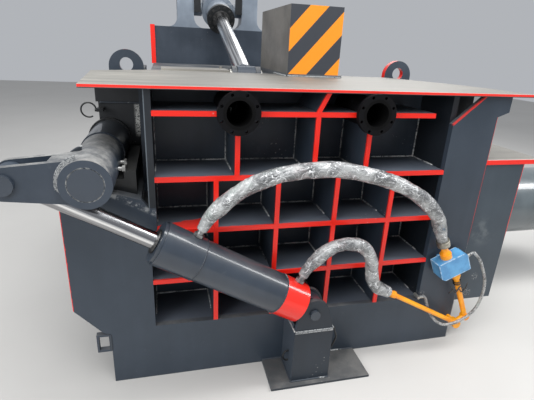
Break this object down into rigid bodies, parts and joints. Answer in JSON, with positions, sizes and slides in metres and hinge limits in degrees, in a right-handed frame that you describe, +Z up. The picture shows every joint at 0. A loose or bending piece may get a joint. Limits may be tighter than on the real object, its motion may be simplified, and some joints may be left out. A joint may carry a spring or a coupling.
{
  "type": "recycling baler",
  "caption": "Hydraulic scrap-metal baler: lidded press chamber with a ribbed front frame, side and rear rams, lid cylinder and crank-driven side flap.",
  "frame": {"origin": "on the floor under the middle of the front frame, in the plane of its front face", "axes": "+Z up, +Y from the ribbed front towards the rear cylinder, +X to the right as seen from the front"},
  "size_m": [3.848, 4.521, 2.1868],
  "materials": {
    "dark_paint": "satin blue-grey machine paint",
    "black_steel": "oily black steel",
    "bare_steel": "bare hot-rolled plate, scuffed and dusty",
    "stripe_paint": "orange and dark grey warning stripes",
    "fitting_steel": "plated steel",
    "light_paint": "lighter blue-grey paint",
    "chrome": "hard chrome",
    "red_paint": "satin red paint",
    "hose_film": "wrinkled clear film over a black hose",
    "pilot_film": "film-wrapped thin hose",
    "valve_blue": "gloss light blue paint",
    "pipe_yellow": "orange-yellow paint",
    "ram_steel": "worn steel"
  },
  "bodies": {
    "frame": {"front_plate": "dark_paint", "rib_grid": "dark_paint", "end_wall": "dark_paint", "side_plates": "dark_paint", "recess_wall": "dark_paint", "ledge_plate": "dark_paint", "chamber_walls": "dark_paint", "chamber_floor": "dark_paint", "base_skids": "dark_paint", "rear_frame": "dark_paint", "lifting_ears": "dark_paint", "left_lock_flange": "black_steel", "right_lock_flange": "black_steel", "lid_hinge_pins": "fitting_steel", "gantry_beam": "dark_paint", "trunnion_columns": "light_paint", "trunnion_guards": "black_steel", "bearing_housing": "dark_paint", "bearing_ring": "black_steel", "bearing_block": "black_steel", "grease_line": "black_steel", "rear_bearing": "black_steel", "pedestal": "dark_paint", "pedestal_pin": "dark_paint", "pedestal_handles": "black_steel", "tie_loop": "dark_paint", "upper_hose": "hose_film", "lower_hose": "hose_film", "valve_block": "valve_blue", "valve_fittings": "pipe_yellow", "oil_pipes": "pipe_yellow", "pilot_hose": "pilot_film", "pilot_fittings": "fitting_steel", "ram_housing": "dark_paint", "housing_top": "bare_steel", "side_barrel": "dark_paint", "rear_barrel": "dark_paint"},
    "lid": {"lid_plate": "bare_steel", "lid_box": "dark_paint", "lid_edge_strip": "bare_steel", "striped_box": "stripe_paint", "lid_lugs": "dark_paint", "lid_lug_pins": "fitting_steel"},
    "lid_cylinder_barrel": {"lid_barrel": "light_paint", "lid_gland": "black_steel"},
    "lid_cylinder_rod": {"lid_rod": "chrome"},
    "crank": {"crank_shaft": "dark_paint", "crank_arm": "dark_paint", "crank_pin": "dark_paint", "hub_bolts": "fitting_steel", "side_flap": "dark_paint"},
    "crank_cylinder_barrel": {"cylinder_head": "dark_paint", "cylinder_tube": "dark_paint", "cylinder_cap": "red_paint", "port_adapters": "fitting_steel"},
    "crank_cylinder_rod": {"cylinder_rod": "chrome"},
    "side_ram": {"side_ram": "ram_steel"},
    "rear_ram": {"rear_ram": "ram_steel"}
  },
  "joints": [
    {"name": "lid_hinge", "type": "hinge", "parent": "frame", "child": "lid", "pos_m": [0, 2.3, 1.23], "axis": [-1, 0, 0], "range_deg": [0, 55]},
    {"name": "lid_cylinder_swing", "type": "hinge", "parent": "frame", "child": "lid_cylinder_barrel", "pos_m": [-0.13, 2.6, 1.909], "axis": [-1, 0, 0], "range_deg": [0, 45]},
    {"name": "lid_cylinder_stroke", "type": "slide", "parent": "lid_cylinder_barrel", "child": "lid_cylinder_rod", "axis": [0, -0.9509, -0.3094], "range_m": [-0.6495, 0]},
    {"name": "crank_turn", "type": "hinge", "parent": "frame", "child": "crank", "pos_m": [-0.945, 0, 1.106], "axis": [0, -1, 0], "range_deg": [0, 100]},
    {"name": "crank_cylinder_swing", "type": "hinge", "parent": "frame", "child": "crank_cylinder_barrel", "pos_m": [0.003, -0.118, 0.408], "axis": [0, -1, 0], "range_deg": [0, 4.4]},
    {"name": "crank_cylinder_stroke", "type": "slide", "parent": "crank_cylinder_barrel", "child": "crank_cylinder_rod", "axis": [-0.8687, 0, 0.4954], "range_m": [-0.4135, 0]},
    {"name": "side_ram_stroke", "type": "slide", "parent": "frame", "child": "side_ram", "axis": [-1, 0, 0], "range_m": [0, 0.94]},
    {"name": "rear_ram_stroke", "type": "slide", "parent": "frame", "child": "rear_ram", "axis": [0, -1, 0], "range_m": [0, 1.38]}
  ],
  "couplings": [
    {"joint": "lid_cylinder_swing", "follows": "lid_hinge", "ratio": 0.81654},
    {"joint": "lid_cylinder_stroke", "follows": "lid_hinge", "m_per_rad": -0.67621},
    {"joint": "crank_cylinder_swing", "follows": "crank_turn", "ratio": 0.043564},
    {"joint": "crank_cylinder_stroke", "follows": "crank_turn", "m_per_rad": -0.23672}
  ]
}
